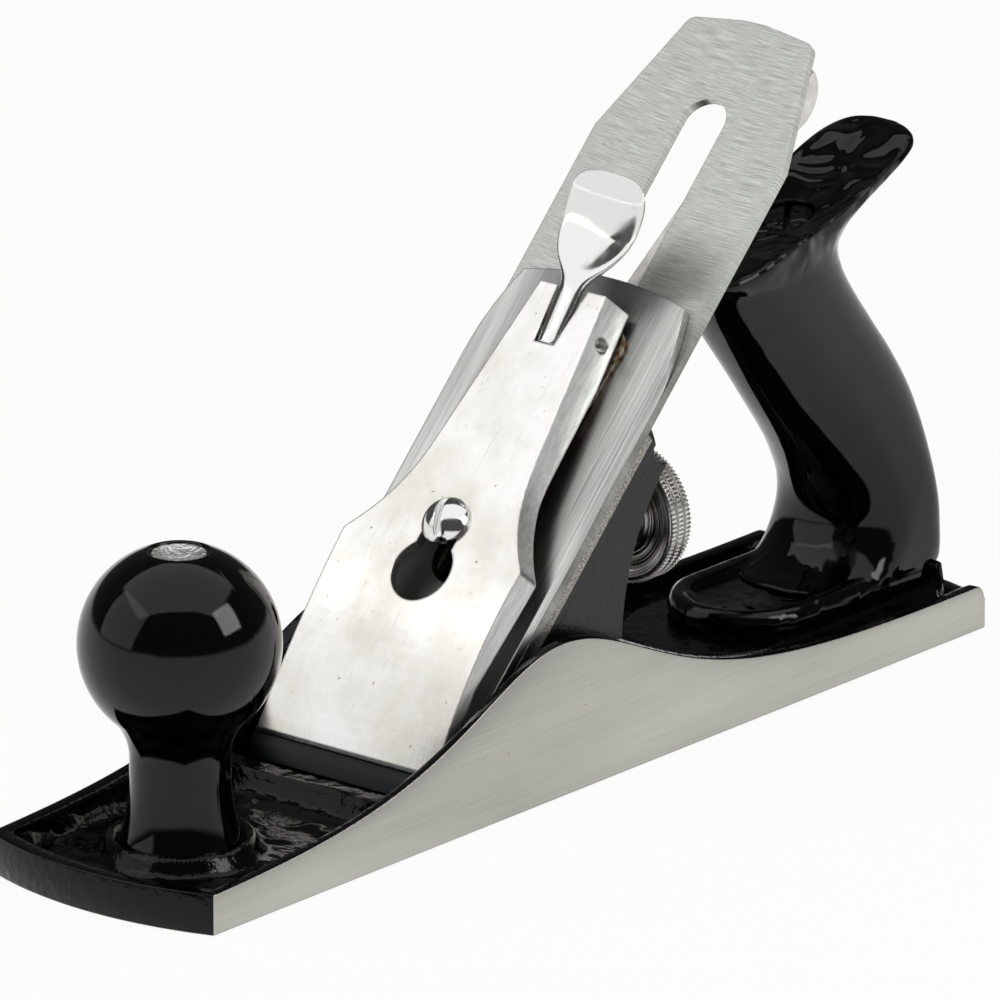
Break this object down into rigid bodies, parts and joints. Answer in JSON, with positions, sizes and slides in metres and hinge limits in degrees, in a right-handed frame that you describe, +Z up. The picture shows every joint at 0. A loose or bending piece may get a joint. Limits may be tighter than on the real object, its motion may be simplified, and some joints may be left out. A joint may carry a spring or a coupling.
{
  "type": "smoothing plane",
  "caption": "Cast-iron bench smoothing plane with a sliding frog, chipbreaker cutter under a lever cap, depth nut, lateral lever, black ball knob and black rear handle",
  "frame": {"origin": "centre of the sole's underside, in its plane, halfway along and across", "axes": "+X from toe to heel, +Y to the side with no lateral lever tab, +Z up from the sole"},
  "size_m": [0.261, 0.06, 0.138],
  "materials": {
    "body_iron": "black gloss enamel inside, ground bare iron on the sole and sides",
    "frog_enamel": "black enamel",
    "screw_steel": "plain turned steel",
    "lever_iron": "dark oxide",
    "nut_metal": "turned and knurled",
    "zinc_plate": "zinc plated, satin",
    "cap_chrome": "polished nickel plate with light wear",
    "spring_steel": "spring steel with light rust",
    "cutter_steel": "surface ground",
    "black_gloss": "high gloss black"
  },
  "bodies": {
    "body": {"plane_body": "body_iron", "frog_screws": "screw_steel", "frog_washers": "screw_steel", "knob": "black_gloss", "knob_stud": "screw_steel", "knob_nut": "cap_chrome", "tote": "black_gloss", "tote_stud": "screw_steel", "tote_nut": "cap_chrome"},
    "frog_assembly": {"frog": "frog_enamel", "frog_clip": "screw_steel", "frog_clip_screw": "screw_steel", "depth_lever_pin": "screw_steel", "nut_stud": "screw_steel", "lateral_pivot": "zinc_plate"},
    "frog_adjuster": {"frog_adjusting_screw": "screw_steel"},
    "cutter_carrier": {"cap_iron_screw": "screw_steel"},
    "cutter": {"blade": "cutter_steel", "cap_iron": "cutter_steel"},
    "fork": {"depth_lever": "lever_iron"},
    "nut_hub": {"depth_nut_hub": "nut_metal"},
    "nut_wheel": {"depth_nut": "nut_metal"},
    "lateral": {"lateral_lever": "zinc_plate", "lateral_disc": "zinc_plate"},
    "cap_screw": {"lever_cap_screw": "cap_chrome"},
    "cap": {"lever_cap": "cap_chrome", "lever_cap_spring": "spring_steel", "spring_rivet": "screw_steel", "cam_pin": "screw_steel"},
    "cam": {"cam_lever": "cap_chrome"}
  },
  "joints": [
    {"name": "frog_slide", "type": "slide", "parent": "body", "child": "frog_assembly", "axis": [1, 0, 0], "range_m": [-0.0008, 0.0025]},
    {"name": "frog_screw_turn", "type": "hinge", "parent": "frog_assembly", "child": "frog_adjuster", "pos_m": [0, 0, 0.0105], "axis": [1, 0, 0], "range_deg": [-290, 902]},
    {"name": "cutter_advance", "type": "slide", "parent": "frog_assembly", "child": "cutter_carrier", "axis": [-0.7071, 0, -0.7071], "range_m": [-0.0026, 0.0026]},
    {"name": "cutter_tilt", "type": "hinge", "parent": "cutter_carrier", "child": "cutter", "pos_m": [-0.01827, 0, 0.03323], "axis": [-0.7071, 0, 0.7071], "range_deg": [-0.52, 1.4]},
    {"name": "fork_tilt", "type": "hinge", "parent": "frog_assembly", "child": "fork", "pos_m": [0.01603, 0, 0.05409], "axis": [0, 1, 0], "range_deg": [-11.6, 11.6]},
    {"name": "nut_travel", "type": "slide", "parent": "frog_assembly", "child": "nut_hub", "axis": [1, 0, 0], "range_m": [-0.00266, 0.00266]},
    {"name": "depth_nut_spin", "type": "hinge", "parent": "nut_hub", "child": "nut_wheel", "pos_m": [0.0418, 0, 0.041], "axis": [1, 0, 0], "range_deg": [-900, 900]},
    {"name": "lateral_swing", "type": "hinge", "parent": "frog_assembly", "child": "lateral", "pos_m": [0.01568, 0, 0.06718], "axis": [-0.7071, 0, 0.7071], "range_deg": [-4, 11]},
    {"name": "cap_screw_turn", "type": "hinge", "parent": "frog_assembly", "child": "cap_screw", "pos_m": [-0.00731, 0, 0.04419], "axis": [-0.7071, 0, 0.7071], "range_deg": [-90, 90]},
    {"name": "lever_cap_slide", "type": "slide", "parent": "frog_assembly", "child": "cap", "axis": [0.7071, 0, 0.7071], "range_m": [0, 0.0114]},
    {"name": "cam_lever_swing", "type": "hinge", "parent": "cap", "child": "cam", "pos_m": [0.01985, 0, 0.08492], "axis": [0, -1, 0], "range_deg": [0, 80]}
  ],
  "couplings": [
    {"joint": "frog_screw_turn", "follows": "frog_slide", "rad_per_m": 6283.2},
    {"joint": "depth_nut_spin", "follows": "cutter_advance", "rad_per_m": -5979.8},
    {"joint": "nut_travel", "follows": "cutter_advance", "ratio": 1.0069},
    {"joint": "fork_tilt", "follows": "cutter_advance", "rad_per_m": -76.924},
    {"joint": "cutter_tilt", "follows": "lateral_swing", "ratio": 0.1265}
  ]
}
